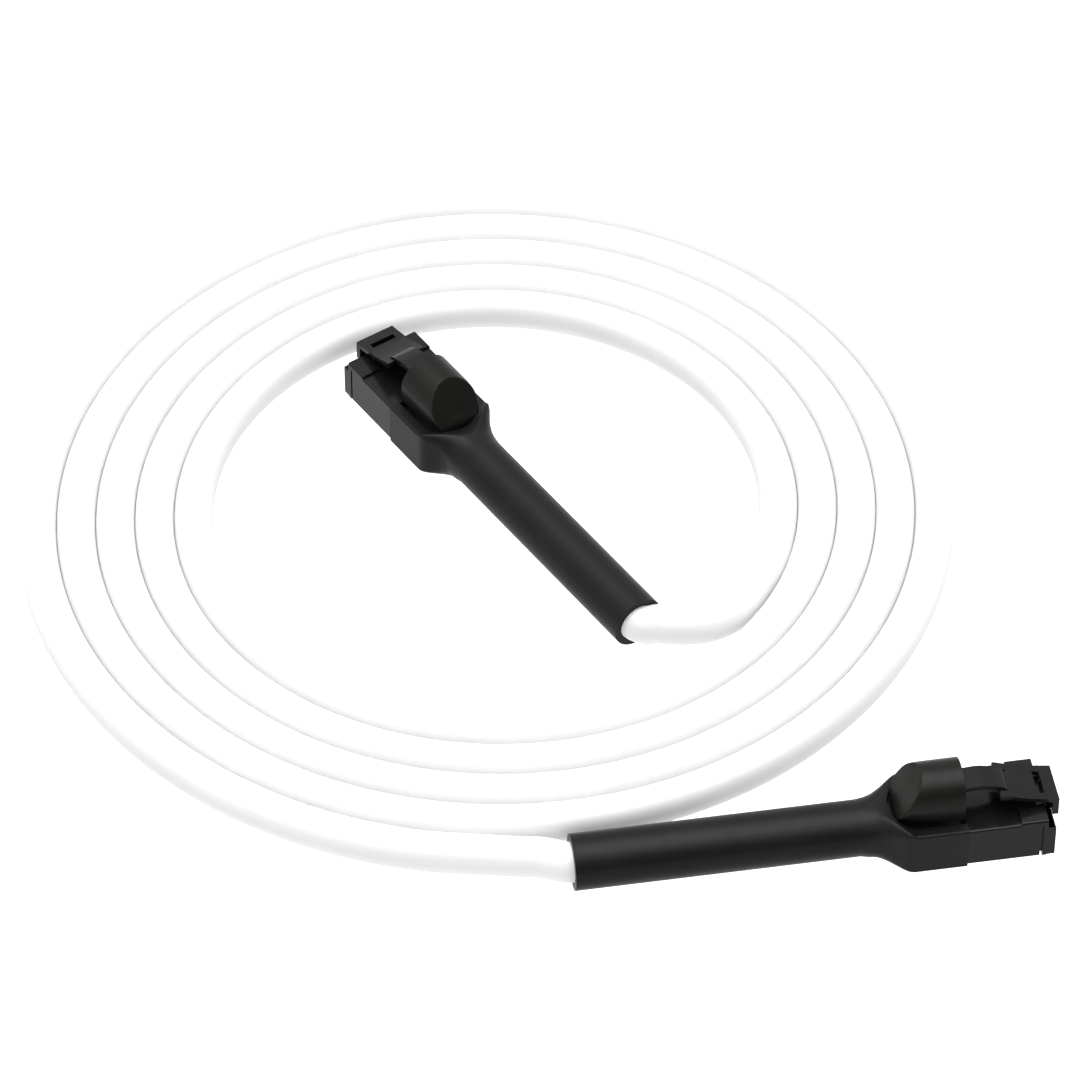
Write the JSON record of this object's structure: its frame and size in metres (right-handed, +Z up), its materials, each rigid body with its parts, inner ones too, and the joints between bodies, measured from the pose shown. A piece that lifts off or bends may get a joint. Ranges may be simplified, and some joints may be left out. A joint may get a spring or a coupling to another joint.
{
  "type": "ethernet patch cable",
  "caption": "Coiled white network patch cable with black modular plugs, long strain-relief sleeves and thumb hoods over the latches.",
  "frame": {"origin": "on the floor, under the middle of the object's box", "axes": "+Z up from the floor the coil lies on; +X to the right and -Y towards the viewer, with the outer plug at +X, -Y and pointing towards +X"},
  "size_m": [0.1427, 0.1378, 0.0137],
  "materials": {
    "cable_jacket": "satin white PVC",
    "plug_body": "satin black polycarbonate",
    "boot_plastic": "soft black moulded PVC",
    "contact_gold": "gold-plated, polished",
    "comb_plastic": "natural, slightly milky",
    "wire_orange": "satin insulation",
    "wire_green": "satin insulation",
    "wire_blue": "satin insulation",
    "wire_brown": "satin insulation",
    "copper_core": "bare copper"
  },
  "bodies": {
    "cable_and_plugs": {"cable_coil": "cable_jacket", "cable_lead_a": "cable_jacket", "cable_lead_b": "cable_jacket", "plug_a_housing": "plug_body", "plug_a_contacts": "contact_gold", "plug_a_load_bar": "comb_plastic", "plug_a_grip_wedge": "plug_body", "plug_a_boot": "boot_plastic", "plug_a_jacket_end": "cable_jacket", "plug_a_pair_orange": "wire_orange", "plug_a_pair_green": "wire_green", "plug_a_pair_blue": "wire_blue", "plug_a_pair_brown": "wire_brown", "plug_a_cores": "copper_core", "plug_b_housing": "plug_body", "plug_b_contacts": "contact_gold", "plug_b_load_bar": "comb_plastic", "plug_b_grip_wedge": "plug_body", "plug_b_boot": "boot_plastic", "plug_b_jacket_end": "cable_jacket", "plug_b_pair_orange": "wire_orange", "plug_b_pair_green": "wire_green", "plug_b_pair_blue": "wire_blue", "plug_b_pair_brown": "wire_brown", "plug_b_cores": "copper_core"},
    "plug_a_latch_body": {"plug_a_latch": "plug_body"},
    "plug_a_hood_body": {"plug_a_thumb_hood": "boot_plastic"},
    "plug_b_latch_body": {"plug_b_latch": "plug_body"},
    "plug_b_hood_body": {"plug_b_thumb_hood": "boot_plastic"}
  },
  "joints": [
    {"name": "plug_a_latch_flex", "type": "hinge", "parent": "cable_and_plugs", "child": "plug_a_latch_body", "pos_m": [-0.02076, 0.03167, 0.00615], "axis": [0.8202, 0.5721, 0], "range_deg": [0, 9], "stiffness_Nm_per_rad": 0.1},
    {"name": "plug_a_hood_flex", "type": "hinge", "parent": "cable_and_plugs", "child": "plug_a_hood_body", "pos_m": [-0.0103, 0.01666, 0.0073], "axis": [0.8202, 0.5721, 0], "range_deg": [-13.2, 0], "stiffness_Nm_per_rad": 0.02},
    {"name": "plug_b_latch_flex", "type": "hinge", "parent": "cable_and_plugs", "child": "plug_b_latch_body", "pos_m": [0.0694, -0.05494, 0.00615], "axis": [0.1599, -0.9871, 0], "range_deg": [0, 9], "stiffness_Nm_per_rad": 0.1},
    {"name": "plug_b_hood_flex", "type": "hinge", "parent": "cable_and_plugs", "child": "plug_b_hood_body", "pos_m": [0.05134, -0.05787, 0.0073], "axis": [0.1599, -0.9871, 0], "range_deg": [-13.2, 0], "stiffness_Nm_per_rad": 0.02}
  ],
  "couplings": [
    {"joint": "plug_a_hood_flex", "follows": "plug_a_latch_flex", "ratio": -1.4667},
    {"joint": "plug_b_hood_flex", "follows": "plug_b_latch_flex", "ratio": -1.4667}
  ]
}
